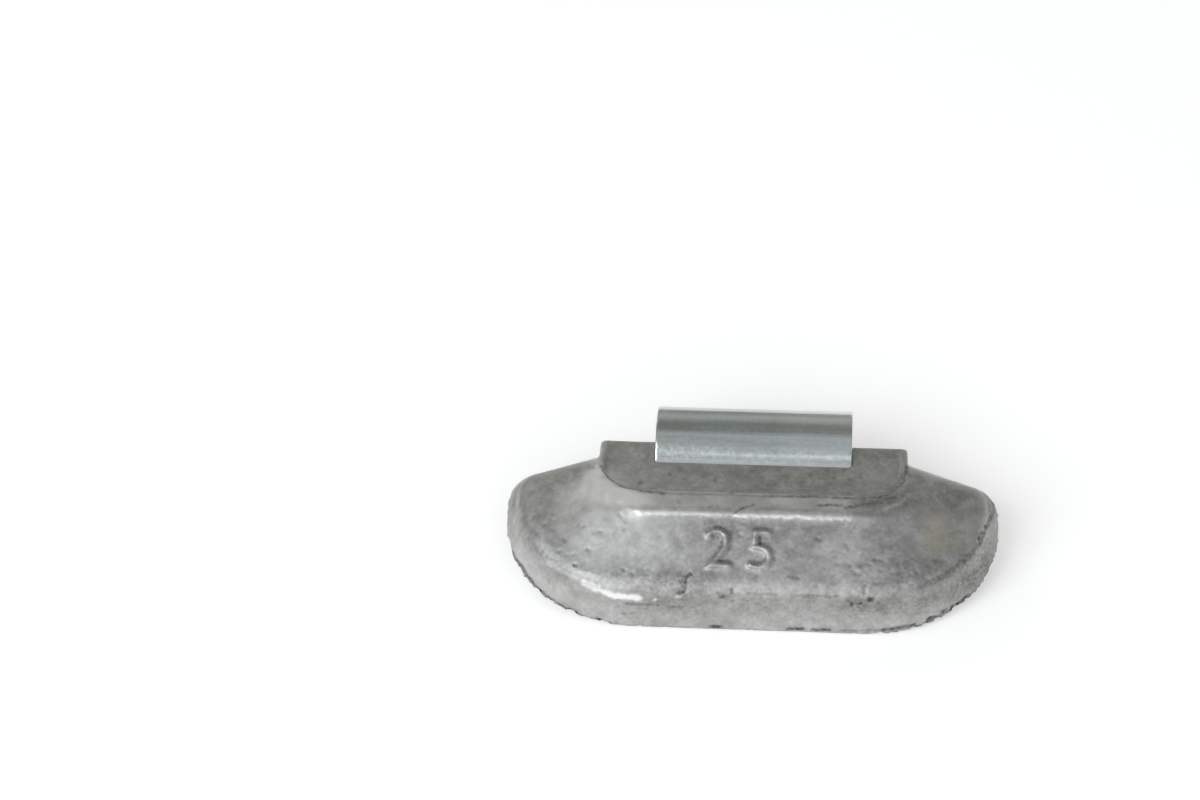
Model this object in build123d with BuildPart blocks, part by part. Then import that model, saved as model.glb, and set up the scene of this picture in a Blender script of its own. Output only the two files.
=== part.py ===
"""Clip-on wheel balance weight: a cast zinc body with a spring-steel rim clip cast into it.

The weight lies as it comes to rest on a flat surface: on the lower edge of its back and on the
free end of its clip. Sizes are in millimetres and slopes in degrees. On the flat back, x runs along
the weight, y runs up towards the clip, and z is the height above the back.
"""

import os
from math import asin, atan2, cos, degrees, hypot, radians, sin, tan

from build123d import *

# Outline of the flat back: elliptical lower ends, round tips, and shoulders that slope to the tab
weight_length = 47.1
end_reach = 12.55
tip_straight = 1.5
tip_radius = 3.5
shoulder_slope = 19.0
shoulder_step = 0.65

# Side wall, which leans in and is higher at the bottom than at the shoulders
wall_height = 5.3
wall_fall = 5.5
wall_inset = 1.5
wall_bevel_width = 1.0
wall_bevel_drop = 0.75

# Tab that sits behind the edge of the wheel rim
tab_width = 29.5
tab_top = 18.6
tab_thickness = 2.2
tab_corner_round = 0.5

# Recessed land in front of the clip, sunk into a roof that rises from the tab's top edge
roof_slope = 25.4
land_sink = 5.4
land_height = 6.6
land_margin = 0.65
land_corner_radius = 3.5
land_wall_lean = 25.0

# Lip round the land
lip_width = 2.2
lip_end_width = 1.3
lip_reach = 4.4
lip_rise = 3.8
lip_straight = 0.3
lip_end_radius = 0.9
lip_bevel_width = 0.6
lip_bevel_drop = 0.18

# Spring-steel clip, as a strip bent in the plane across the weight
strip_width = 18.8
strip_thickness = 1.0
strip_edge_round = 0.2
bend_radius = 4.35
bend_lift = 0.3
bend_behind_back = 0.5
neck_lean = 30.0
neck_radius = 3.0
leg_length = 3.6
leg_flare = 8.0
tongue_length = 6.0
anchor_hole_diameter = 4.0
anchor_hole_spacing = 9.0
tool_hole_diameter = 4.8
tool_hole_turn = 58.0

# Places on the back that follow from the tab
land_slope = roof_slope - land_sink
land_bottom = tab_top - land_height
land_width = tab_width - 2 * land_margin
bend_rise = tab_top + bend_lift

# Rise of the elliptical ends, which leaves the shoulders a step below the tab's top edge
tip_turn = 90 - shoulder_slope
shoulder_run = weight_length / 2 - tip_radius * (1 - cos(radians(tip_turn))) - tab_width / 2
shoulder_top = tab_top - shoulder_step
tip_rise = tip_straight + tip_radius * sin(radians(tip_turn))
end_rise = shoulder_top - shoulder_run * tan(radians(shoulder_slope)) - tip_rise

# Path of the strip's middle layer: tongue, neck, bend and leg
middle_radius = bend_radius - strip_thickness / 2
bend_start_y = bend_rise - middle_radius * sin(radians(neck_lean))
bend_start_z = middle_radius * cos(radians(neck_lean)) - bend_behind_back
tongue_top_y = bend_start_y - neck_radius * sin(radians(neck_lean))
tongue_z = bend_start_z - neck_radius * (1 - cos(radians(neck_lean)))
bend_turn = neck_lean + 180 - leg_flare

# Outer corner of the leg's free end, at the middle of its rounding
leg_reach = leg_length - strip_edge_round
leg_drop = bend_radius - strip_edge_round
foot_y = bend_rise + leg_drop * sin(radians(leg_flare)) - leg_reach * cos(radians(leg_flare))
foot_z = -bend_behind_back - leg_drop * cos(radians(leg_flare)) - leg_reach * sin(radians(leg_flare))

# Tilt at which the weight rests: on its lower back edge and on whichever of leg and bend is lower
leg_tilt = degrees(atan2(-foot_z, foot_y) + asin(strip_edge_round / hypot(foot_y, foot_z)))
bend_tilt = degrees(
    atan2(bend_behind_back, bend_rise) + asin(bend_radius / hypot(bend_rise, bend_behind_back))
)
rest_tilt = max(leg_tilt, bend_tilt)
rest_depth = (
    bend_rise * cos(radians(rest_tilt)) + bend_behind_back * sin(radians(rest_tilt)) + bend_radius
)

back = Plane(Location((0, -rest_depth / 2, 0), (rest_tilt, 0, 0)))
across = Plane(back.origin, x_dir=back.y_dir, z_dir=back.x_dir)


def leaning_plane(y, z, slope):
    """Plane through a line along the weight, falling towards the clip by slope degrees."""
    return Plane(back.location * Location((0, y, z), (-slope, 0, 0)))


wall_top = leaning_plane(0, wall_height, wall_fall)
roof = leaning_plane(tab_top, tab_thickness, roof_slope)
land = leaning_plane(tab_top, tab_thickness, land_slope)
anchor_holes = leaning_plane(tongue_top_y - tongue_length / 2, tongue_z, 0)
tool_hole = leaning_plane(bend_rise, -bend_behind_back, 90 + tool_hole_turn)


def boat_outline(plane, bottom, half_width, reach, rise, straight, corner, top_half):
    """Closed outline with a flat bottom, elliptical ends, rounded tips and sloping shoulders."""
    flat_half = half_width - reach
    with BuildSketch(plane) as outline:
        with BuildLine():
            Line((-flat_half, bottom), (flat_half, bottom))
            end = EllipticalCenterArc((flat_half, bottom + rise), reach, rise, -90, arc_size=90)
            side = Line(end @ 1, end @ 1 + Vector(0, straight))
            tip = JernArc(side @ 1, side % 1, corner, tip_turn)
            run = (tip @ 1).X - top_half
            shoulder = Line(tip @ 1, tip @ 1 + Vector(-run, run * tan(radians(shoulder_slope))))
            mirror([end, side, tip, shoulder], about=Plane.YZ)
            Line(shoulder @ 1, Vector(-top_half, (shoulder @ 1).Y))
        make_face()
    return outline.sketch


def wall_outline(plane, inset):
    """Outline of the side wall, brought in by inset on every side."""
    return boat_outline(
        plane,
        inset,
        weight_length / 2 - inset,
        end_reach - inset,
        end_rise - inset,
        tip_straight,
        tip_radius - inset,
        tab_width / 2,
    )


def lip_outline(plane, grow):
    """Outline of the lip, grown on every side."""
    return boat_outline(
        plane,
        -(land_height + lip_width) / cos(radians(roof_slope)) - grow,
        land_width / 2 + lip_end_width + grow,
        lip_reach + grow,
        lip_rise + grow,
        lip_straight,
        lip_end_radius + grow,
        land_width / 2,
    )


# Rim clip: the bent strip, anchor holes in its tongue and the removal hole behind its bend
with BuildPart() as clip:
    with BuildSketch(across):
        with BuildLine():
            tongue = Line((tongue_top_y - tongue_length, tongue_z), (tongue_top_y, tongue_z))
            neck = JernArc(tongue @ 1, tongue % 1, neck_radius, neck_lean)
            bend = JernArc(neck @ 1, neck % 1, middle_radius, -bend_turn)
            Line(bend @ 1, bend @ 1 + bend % 1 * leg_length)
        trace(line_width=strip_thickness)
    extrude(amount=strip_width / 2, both=True)
    fillet(clip.edges().filter_by(Axis.X), strip_edge_round)
    with BuildSketch(anchor_holes):
        with GridLocations(anchor_hole_spacing, 0, 2, 1):
            Circle(anchor_hole_diameter / 2)
    extrude(amount=strip_thickness, both=True, mode=Mode.SUBTRACT)
    with BuildSketch(tool_hole):
        Circle(tool_hole_diameter / 2)
    extrude(amount=bend_radius + strip_thickness, mode=Mode.SUBTRACT)
clip.part.label = "rim_clip"

# Cast body: crowned form with a bevelled wall edge, tab, recessed land, then room for the clip
with BuildPart() as weight:
    loft(
        [
            wall_outline(back, 0),
            wall_outline(wall_top.offset(-wall_bevel_drop), wall_inset),
            wall_outline(wall_top, wall_inset + wall_bevel_width),
            lip_outline(roof.offset(-lip_bevel_drop), lip_bevel_width),
            lip_outline(roof, 0),
        ],
        ruled=True,
    )
    with BuildSketch(across):
        roof_rise = land_height * tan(radians(roof_slope))
        Polygon(
            (land_bottom, 0),
            (tab_top, 0),
            (tab_top, tab_thickness),
            (land_bottom, tab_thickness + roof_rise),
            align=None,
        )
    extrude(amount=tab_width / 2, both=True)
    upright_edges = weight.edges().filter_by(Axis(back.origin, back.z_dir))
    fillet(upright_edges.group_by(Axis(back.origin, back.y_dir))[-1], tab_corner_round)
    with BuildSketch(land):
        with BuildLine():
            land_low = -land_height / cos(radians(land_slope))
            land_side = FilletPolyline(
                (-land_width / 2, tab_thickness),
                (-land_width / 2, land_low),
                (land_width / 2, land_low),
                (land_width / 2, tab_thickness),
                radius=land_corner_radius,
            )
            Line(land_side @ 1, land_side @ 0)
        make_face()
    extrude(amount=tab_thickness, taper=-land_wall_lean, mode=Mode.SUBTRACT)
    add(clip.part, mode=Mode.SUBTRACT)
weight.part.label = "cast_weight"

os.makedirs("parts", exist_ok=True)
export_step(weight.part, "parts/cast_weight.step")
export_step(clip.part, "parts/rim_clip.step")
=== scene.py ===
"""Looks of a clip-on wheel balance weight: a cast zinc body and the plated spring clip cast into it.

Sizes in the classes are millimetres unless a name says otherwise. On the weight's flat back, x runs
along the weight, y runs up towards the clip and z is the height above the back. Places read from the
photograph are pixels in its frame of 1200 by 800. A span is a range. Where a span bounds a zone, the
zone starts at its first end and is full at its second.
"""

import logging
import math
import random
from dataclasses import dataclass
from enum import Enum

import bmesh
import bpy
import numpy as np
from mathutils import Matrix, Vector, noise
from mathutils.bvhtree import BVHTree
from mathutils.geometry import intersect_line_plane


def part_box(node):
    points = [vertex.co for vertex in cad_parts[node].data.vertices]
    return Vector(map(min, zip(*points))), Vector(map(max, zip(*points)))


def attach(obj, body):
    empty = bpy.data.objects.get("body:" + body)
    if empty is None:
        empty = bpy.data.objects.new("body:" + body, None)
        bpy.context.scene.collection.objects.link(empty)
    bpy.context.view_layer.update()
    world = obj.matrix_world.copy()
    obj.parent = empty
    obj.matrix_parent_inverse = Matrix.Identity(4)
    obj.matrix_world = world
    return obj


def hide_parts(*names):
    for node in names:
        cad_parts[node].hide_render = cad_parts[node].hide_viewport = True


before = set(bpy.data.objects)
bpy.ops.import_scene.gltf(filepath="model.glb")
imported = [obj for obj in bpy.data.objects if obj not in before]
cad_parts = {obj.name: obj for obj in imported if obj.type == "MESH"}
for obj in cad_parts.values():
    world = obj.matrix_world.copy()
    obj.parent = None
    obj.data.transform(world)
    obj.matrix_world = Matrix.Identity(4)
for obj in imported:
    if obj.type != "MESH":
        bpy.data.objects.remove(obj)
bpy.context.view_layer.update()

MM = 0.001
IMAGE_WIDTH = 1200
IMAGE_HEIGHT = 800
# Gap under which the corners of the CAD's loose triangles are merged.
MERGE_GAP = 0.001
# Share of the way to its neighbours that a vertex goes in one pass of smoothing.
SMOOTH_STEP = 0.5
# Degrees from the horizon in front over the zenith to the horizon behind.
HALF_TURN = 180.0

Pixel = tuple[float, float]
Place = tuple[float, float]
Span = tuple[float, float]
Tint = tuple[float, float, float]
Colour = tuple[float, float, float, float]
Source = bpy.types.NodeSocket | float | Colour

log = logging.getLogger("balance_weight")


@dataclass(frozen=True)
class BackFrame:
    """The flat back of the weight as a frame of its own.

    Attributes:
        origin: Middle of the lower back edge, in metres.
        tilt: Angle at which the back leans against the floor, in radians.
    """

    origin: Vector
    tilt: float

    @classmethod
    def of_casting(cls, node: bpy.types.Object) -> "BackFrame":
        """Reads the back from the largest face of the casting that looks down.

        Args:
            node: The CAD casting.

        Returns:
            The frame of its back.
        """
        under = [face for face in node.data.polygons if face.normal.z < 0]
        normal = max(under, key=lambda face: face.area).normal
        lowest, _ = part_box("cast_weight")
        return cls(Vector((0.0, lowest[1], lowest[2])), math.atan2(normal.y, -normal.z))

    @property
    def matrix(self) -> Matrix:
        """Turns back places in metres into world places."""
        return Matrix.Translation(self.origin) @ Matrix.Rotation(self.tilt, 4, "X")

    def path(self, places: tuple[Place, ...]) -> np.ndarray:
        """World points of (x, y) places on the back."""
        return np.array([self.matrix @ (Vector((x, y, 0.0)) * MM) for x, y in places])

    def met_by(self, start: Vector, direction: Vector) -> Vector:
        """Point at which a line meets the plane of the back."""
        normal = self.matrix.to_3x3() @ Vector((0.0, 0.0, 1.0))
        return intersect_line_plane(start, start + direction, self.origin, normal)

    def places(self, points: np.ndarray) -> np.ndarray:
        """Back places in millimetres of world points in metres."""
        inverse = np.array(self.matrix.inverted())
        return (points @ inverse[:3, :3].T + inverse[:3, 3]) / MM


@dataclass(frozen=True)
class Shot:
    """The photograph's view: where its camera stood and where the weight falls in the picture.

    Attributes:
        elevation: Camera height above the horizon, in degrees.
        azimuth: Camera place round the weight, in degrees, towards +X.
        distance: From the camera to the target.
        focal_px: Focal length in pixels of the photograph.
        target_height: Height of the target point above the floor.
        target_px: Pixel at which the target point falls.
        sensor: Sensor width of the lens.
        near: Distance from which the camera sees.
    """

    elevation: float = 46.2
    azimuth: float = 2.37
    distance: float = 290.0
    focal_px: float = 3031.0
    target_height: float = 4.0
    target_px: Pixel = (751.5, 515.3)
    sensor: float = 36.0
    near: float = 10.0

    @property
    def target(self) -> Vector:
        """Target point in the world."""
        return Vector((0.0, 0.0, self.target_height * MM))

    @property
    def place(self) -> Vector:
        """Where the camera stands.

        Returns:
            Its place in the world.
        """
        azimuth = math.radians(self.azimuth)
        elevation = math.radians(self.elevation)
        back = Vector(
            (
                math.sin(azimuth) * math.cos(elevation),
                -math.cos(azimuth) * math.cos(elevation),
                math.sin(elevation),
            )
        )
        return self.target + back * (self.distance * MM)

    @property
    def matrix(self) -> Matrix:
        """Turns the camera so that the target falls at its pixel.

        Returns:
            The camera's axes in the world.
        """
        aim = (self.target - self.place).to_track_quat("-Z", "Y")
        offset = Vector((0.0, 0.0, -1.0)).rotation_difference(self.lens_direction(self.target_px))
        turn = (aim @ offset.inverted()).to_matrix().to_4x4()
        return Matrix.Translation(self.place) @ turn

    def lens_direction(self, pixel: Pixel) -> Vector:
        """Finds a pixel in the camera's own axes.

        Args:
            pixel: A pixel of the photograph.

        Returns:
            The direction of its sight line.
        """
        right = pixel[0] - IMAGE_WIDTH / 2
        down = pixel[1] - IMAGE_HEIGHT / 2
        return Vector((right, -down, -self.focal_px)).normalized()

    def ray(self, pixel: Pixel) -> tuple[Vector, Vector]:
        """Start and direction in the world of the sight line through a pixel."""
        return self.place, (self.matrix.to_3x3() @ self.lens_direction(pixel)).normalized()

    def build(self) -> None:
        """Adds the camera and makes it the scene's own."""
        data = bpy.data.cameras.new("photo_view")
        data.sensor_width = self.sensor
        data.lens = self.focal_px / IMAGE_WIDTH * self.sensor
        data.clip_start = self.near * MM
        camera = bpy.data.objects.new("photo_view", data)
        camera.matrix_world = self.matrix
        bpy.context.scene.collection.objects.link(camera)
        bpy.context.scene.camera = camera


class MarkKind(Enum):
    """What a mark on the casting does: (sink, dirt and painted shade, worn brightening and painted
    highlight), each as a share of its strength.
    """

    PIT = (1.0, 1.0, 0.0)
    # Dark lines serve as scratches and as painted shade along creases and edges.
    DARK_LINE = (0.5, 0.8, 0.0)
    # A glint is a painted highlight on a faint raised line.
    GLINT = (-0.25, 0.0, 1.0)
    # A nick sinks a notch and paints shade into it.
    NICK = (1.6, 0.7, 0.0)
    # A seam stands out and carries a painted highlight.
    SEAM = (-1.0, 0.0, 0.6)


@dataclass(frozen=True)
class Mark:
    """One pit, scratch, nick, painted highlight or line of painted shade on the casting.

    Attributes:
        kind: What it does to the surface.
        pixels: Its path in the photograph.
        width: Half of its width.
        depth: How deep it sinks, if its kind sinks fully.
        strength: How strongly it colours the surface, from 0 to 1.
    """

    kind: MarkKind
    pixels: tuple[Pixel, ...]
    width: float
    depth: float
    strength: float = 1.0


@dataclass(frozen=True)
class PitField:
    """A patch of small pits scattered round a pixel of the photograph.

    Attributes:
        centre: Pixel at its middle.
        reach: Half of its width and height, in pixels.
        count: How many pits it has.
        width: Half of a middling pit's width.
        strength: How dark the pits are, from 0 to 1.
        length: Most that a pit runs across and down, in pixels.
        sizes: Range of the pits' widths, as shares of the middling one.
        depth: Depth of a pit as a share of its width.
    """

    centre: Pixel
    reach: Pixel
    count: int
    width: float
    strength: float
    length: Pixel = (3.0, 2.0)
    sizes: Span = (0.7, 1.4)
    depth: float = 0.3

    def marks(self, draw: random.Random) -> list[Mark]:
        """Scatters the pits.

        Args:
            draw: Source of the random draws.

        Returns:
            One mark a pit.
        """
        pits = []
        for _ in range(self.count):
            turn = draw.uniform(0.0, 2 * math.pi)
            away = math.sqrt(draw.random())
            across = self.centre[0] + self.reach[0] * away * math.cos(turn)
            down = self.centre[1] + self.reach[1] * away * math.sin(turn)
            end_across = across + draw.uniform(-self.length[0], self.length[0])
            end_down = down + draw.uniform(-self.length[1], self.length[1])
            width = self.width * draw.uniform(*self.sizes)
            pixels = ((across, down), (end_across, end_down))
            pits.append(Mark(MarkKind.PIT, pixels, width, self.depth * width, self.strength))
        return pits


class PatchKind(Enum):
    """Layer of the finish that a soft patch adds to."""

    PAINTED_SHADE = "dirt_and_shade"
    PAINTED_LIGHT = "rub"
    YELLOWED = "tarnish"


@dataclass(frozen=True)
class Patch:
    """A soft-edged patch of painted shade, painted light or yellowed tarnish on the casting.

    Attributes:
        kind: What is different there.
        pixels: Its middle line in the photograph.
        reach: Distance over which it fades.
        strength: How strong it is at its middle, from 0 to 1.
    """

    kind: PatchKind
    pixels: tuple[Pixel, ...]
    reach: float
    strength: float


FACE_MARKS = (
    Mark(MarkKind.PIT, ((575, 565),), 0.19, 0.10, 0.85),
    Mark(MarkKind.PIT, ((623, 569), (625, 570)), 0.15, 0.05, 0.45),
    Mark(MarkKind.PIT, ((632, 573), (633, 574)), 0.15, 0.05, 0.50),
    Mark(MarkKind.PIT, ((532, 532), (536, 534)), 0.18, 0.02, 0.22),
    Mark(MarkKind.PIT, ((551, 541), (553, 543)), 0.17, 0.02, 0.28),
    Mark(MarkKind.PIT, ((563, 539), (566, 541)), 0.17, 0.02, 0.30),
    Mark(MarkKind.PIT, ((546, 557), (557, 561)), 0.15, 0.02, 0.35),
    Mark(MarkKind.DARK_LINE, ((690, 574), (686, 578), (686, 586), (684, 591), (678, 593)), 0.19, 0.07, 1.0),
    Mark(MarkKind.DARK_LINE, ((735, 513), (742, 508), (754, 505)), 0.13, 0.05, 0.65),
    Mark(MarkKind.DARK_LINE, ((712, 520), (728, 518)), 0.13, 0.03, 0.45),
    Mark(MarkKind.PIT, ((861, 565),), 0.18, 0.04, 0.50),
    Mark(MarkKind.PIT, ((874, 559), (882, 561)), 0.17, 0.04, 0.50),
    Mark(MarkKind.PIT, ((865, 587), (865, 593)), 0.17, 0.04, 0.55),
    Mark(MarkKind.PIT, ((875, 583), (887, 583)), 0.16, 0.04, 0.45),
    Mark(MarkKind.PIT, ((815, 538), (822, 539)), 0.18, 0.04, 0.35),
)

# Along the lip: the glints are painted highlights on its crest and round left corner, and the dark lines are
# painted shade along the edge of the recessed land and round the lip's right end.
LIP_MARKS = (
    Mark(MarkKind.GLINT, ((627, 505), (634, 508)), 0.60, 0.28, 0.90),
    Mark(MarkKind.GLINT, ((641, 511), (690, 512), (738, 514)), 0.26, 0.12, 0.80),
    Mark(MarkKind.GLINT, ((738, 514), (800, 515), (850, 517)), 0.32, 0.20, 1.0),
    Mark(MarkKind.DARK_LINE, ((602, 466), (608, 477), (622, 486), (640, 490), (664, 493)), 0.18, 0.04, 0.70),
    Mark(MarkKind.DARK_LINE, ((664, 493), (710, 494), (760, 496)), 0.14, 0.03, 0.40),
    Mark(MarkKind.DARK_LINE, ((760, 496), (810, 496), (850, 498), (880, 497)), 0.15, 0.03, 0.65),
    Mark(MarkKind.DARK_LINE, ((880, 497), (893, 491), (903, 481), (907, 467)), 0.16, 0.04, 0.70),
    Mark(MarkKind.DARK_LINE, ((846, 508), (864, 504), (884, 503)), 0.22, 0.04, 0.70),
    Mark(MarkKind.DARK_LINE, ((820, 505), (842, 505)), 0.17, 0.03, 0.75),
    Mark(MarkKind.GLINT, ((884, 509), (900, 503), (908, 494)), 0.20, 0.02, 0.35),
)

# On the wall: the glints are painted highlights on the crown's rounded lower edge, and the dark lines are
# painted shade along that edge and the right end's crease; the pits are the casting's own.
WALL_MARKS = (
    Mark(MarkKind.DARK_LINE, ((627, 604), (657, 605)), 0.15, 0.06, 0.65),
    Mark(MarkKind.DARK_LINE, ((668, 607), (682, 607)), 0.15, 0.06, 0.65),
    Mark(MarkKind.GLINT, ((655, 600),), 0.16, 0.05),
    Mark(MarkKind.GLINT, ((676, 597), (680, 597)), 0.14, 0.03, 0.6),
    Mark(MarkKind.GLINT, ((548, 564), (566, 574), (583, 583)), 0.17, 0.03, 0.35),
    Mark(MarkKind.GLINT, ((584, 583), (601, 591), (615, 596), (638, 598)), 0.28, 0.04),
    Mark(MarkKind.DARK_LINE, ((748, 594), (776, 595)), 0.15, 0.04, 0.55),
    Mark(MarkKind.DARK_LINE, ((797, 596), (837, 597)), 0.15, 0.04, 0.60),
    Mark(MarkKind.PIT, ((869, 600), (871, 600)), 0.22, 0.12, 0.95),
    Mark(MarkKind.PIT, ((721, 597), (727, 597)), 0.17, 0.05, 0.65),
    Mark(MarkKind.PIT, ((732, 590), (732, 593)), 0.15, 0.05, 0.60),
    Mark(MarkKind.PIT, ((850, 602), (852, 606)), 0.19, 0.07, 0.80),
    Mark(MarkKind.PIT, ((857, 605), (862, 604)), 0.18, 0.07, 0.75),
    Mark(MarkKind.PIT, ((878, 604), (880, 606)), 0.18, 0.06, 0.65),
    Mark(MarkKind.DARK_LINE, ((987, 494), (993, 503), (993, 514), (986, 528), (980, 542)), 0.30, 0.05, 1.0),
    Mark(MarkKind.DARK_LINE, ((980, 542), (967, 558), (947, 574), (926, 585)), 0.26, 0.05, 0.65),
)

# Along the lower edge: nicks, and dark lines; the darkness of both is painted shade.
EDGE_MARKS = (
    Mark(MarkKind.NICK, ((507, 543), (510, 549)), 0.28, 0.14),
    Mark(MarkKind.NICK, ((519, 565), (522, 569)), 0.32, 0.14),
    Mark(MarkKind.NICK, ((527, 577), (530, 581)), 0.30, 0.14),
    Mark(MarkKind.NICK, ((536, 588), (539, 591)), 0.20, 0.14),
    Mark(MarkKind.NICK, ((569, 611), (574, 613)), 0.34, 0.14),
    Mark(MarkKind.NICK, ((597, 621), (603, 623)), 0.30, 0.14),
    Mark(MarkKind.DARK_LINE, ((506, 540), (514, 556), (522, 569), (530, 580), (540, 591)), 0.22, 0.04, 0.80),
    Mark(MarkKind.DARK_LINE, ((540, 591), (555, 602), (571, 612), (586, 618), (602, 623)), 0.20, 0.04, 0.75),
    Mark(MarkKind.DARK_LINE, ((602, 623), (620, 628), (640, 632)), 0.14, 0.03, 0.45),
    Mark(MarkKind.DARK_LINE, ((712, 627), (721, 627)), 0.18, 0.06),
    Mark(MarkKind.DARK_LINE, ((789, 629), (802, 629)), 0.18, 0.06),
    Mark(MarkKind.DARK_LINE, ((813, 630), (829, 630)), 0.18, 0.06),
    Mark(MarkKind.DARK_LINE, ((842, 631), (884, 630)), 0.13, 0.04, 0.50),
    Mark(MarkKind.DARK_LINE, ((884, 630), (898, 628), (914, 625)), 0.19, 0.06),
    Mark(MarkKind.NICK, ((963, 601), (968, 597)), 0.26, 0.16),
    Mark(MarkKind.NICK, ((953, 608), (958, 605)), 0.26, 0.16),
    Mark(MarkKind.NICK, ((943, 613), (947, 611)), 0.24, 0.16),
    Mark(MarkKind.NICK, ((930, 620), (935, 618)), 0.26, 0.16),
    Mark(MarkKind.DARK_LINE, ((970, 596), (956, 607), (945, 613), (932, 620), (914, 629)), 0.18, 0.05, 0.9),
    Mark(MarkKind.DARK_LINE, ((995, 560), (985, 578), (970, 596)), 0.13, 0.03, 0.5),
)

PIT_FIELDS = (
    PitField((868, 566), (20, 12), 8, 0.14, 0.35),
    PitField((864, 602), (22, 7), 8, 0.14, 0.40),
    PitField((726, 597), (10, 7), 6, 0.14, 0.45),
    PitField((640, 607), (45, 8), 8, 0.13, 0.35),
    PitField((790, 600), (70, 8), 10, 0.13, 0.30),
    PitField((925, 570), (40, 26), 16, 0.14, 0.35),
    PitField((555, 550), (36, 34), 7, 0.13, 0.25),
    PitField((750, 545), (230, 60), 36, 0.12, 0.25),
    PitField((750, 478), (130, 14), 24, 0.13, 0.30),
)

# Soft patches of painted light and painted shade, and two of yellowed tarnish.
PATCHES = (
    Patch(PatchKind.PAINTED_LIGHT, ((602, 476), (610, 492), (638, 503)), 1.4, 1.0),
    Patch(PatchKind.PAINTED_LIGHT, ((545, 508), (585, 494)), 2.0, 0.12),
    Patch(PatchKind.PAINTED_LIGHT, ((582, 505), (620, 520), (650, 528)), 2.6, 0.16),
    Patch(PatchKind.PAINTED_LIGHT, ((600, 552), (640, 552)), 2.6, 0.12),
    Patch(PatchKind.PAINTED_LIGHT, ((572, 526), (580, 530)), 1.8, 0.12),
    Patch(PatchKind.PAINTED_LIGHT, ((520, 556), (545, 585), (575, 601), (610, 611)), 1.3, 0.14),
    Patch(PatchKind.PAINTED_LIGHT, ((690, 502), (840, 504)), 0.9, 0.10),
    Patch(PatchKind.PAINTED_LIGHT, ((624, 466), (640, 474)), 1.5, 0.10),
    Patch(PatchKind.PAINTED_LIGHT, ((872, 474), (890, 474)), 1.5, 0.12),
    Patch(PatchKind.PAINTED_LIGHT, ((915, 522), (978, 526)), 1.8, 0.30),
    Patch(PatchKind.PAINTED_SHADE, ((700, 570), (790, 575)), 3.2, 0.18),
    Patch(PatchKind.PAINTED_SHADE, ((720, 530), (800, 530)), 2.2, 0.24),
    Patch(PatchKind.PAINTED_SHADE, ((838, 526), (848, 527)), 1.6, 0.26),
    Patch(PatchKind.PAINTED_SHADE, ((885, 545), (897, 555)), 1.5, 0.20),
    Patch(PatchKind.PAINTED_SHADE, ((905, 572), (925, 578)), 1.3, 0.12),
    Patch(PatchKind.PAINTED_SHADE, ((615, 574), (650, 579), (700, 582)), 1.2, 0.36),
    Patch(PatchKind.PAINTED_SHADE, ((652, 602), (690, 603)), 1.4, 0.26),
    Patch(PatchKind.PAINTED_SHADE, ((740, 604), (800, 606), (845, 604)), 1.4, 0.14),
    Patch(PatchKind.PAINTED_SHADE, ((860, 606), (905, 604), (950, 592), (985, 565)), 2.0, 0.32),
    Patch(PatchKind.PAINTED_SHADE, ((984, 491), (989, 503), (990, 514)), 0.9, 0.45),
    Patch(PatchKind.PAINTED_SHADE, ((524, 481), (516, 491), (514, 504)), 1.0, 0.45),
    Patch(PatchKind.PAINTED_SHADE, ((655, 545), (667, 555)), 1.5, 0.10),
    Patch(PatchKind.PAINTED_SHADE, ((690, 524), (740, 526)), 1.0, 0.12),
    Patch(PatchKind.PAINTED_SHADE, ((530, 540), (555, 558)), 1.2, 0.14),
    Patch(PatchKind.PAINTED_SHADE, ((562, 566), (594, 578)), 1.0, 0.30),
    Patch(PatchKind.PAINTED_SHADE, ((840, 570), (880, 585)), 2.4, 0.14),
    Patch(PatchKind.PAINTED_SHADE, ((862, 502), (900, 496)), 1.2, 0.34),
    Patch(PatchKind.YELLOWED, ((936, 518), (940, 530)), 1.1, 0.55),
    Patch(PatchKind.YELLOWED, ((930, 541), (950, 541)), 1.2, 0.50),
)


@dataclass(frozen=True)
class NoiseField:
    """Smooth noise over a surface.

    Attributes:
        size: Size of its lumps.
        seed: Shift that makes one field differ from another.
        level: Its mean.
        swing: How far it goes to both sides of the mean.
    """

    size: float
    seed: float
    level: float = 0.0
    swing: float = 1.0


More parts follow.
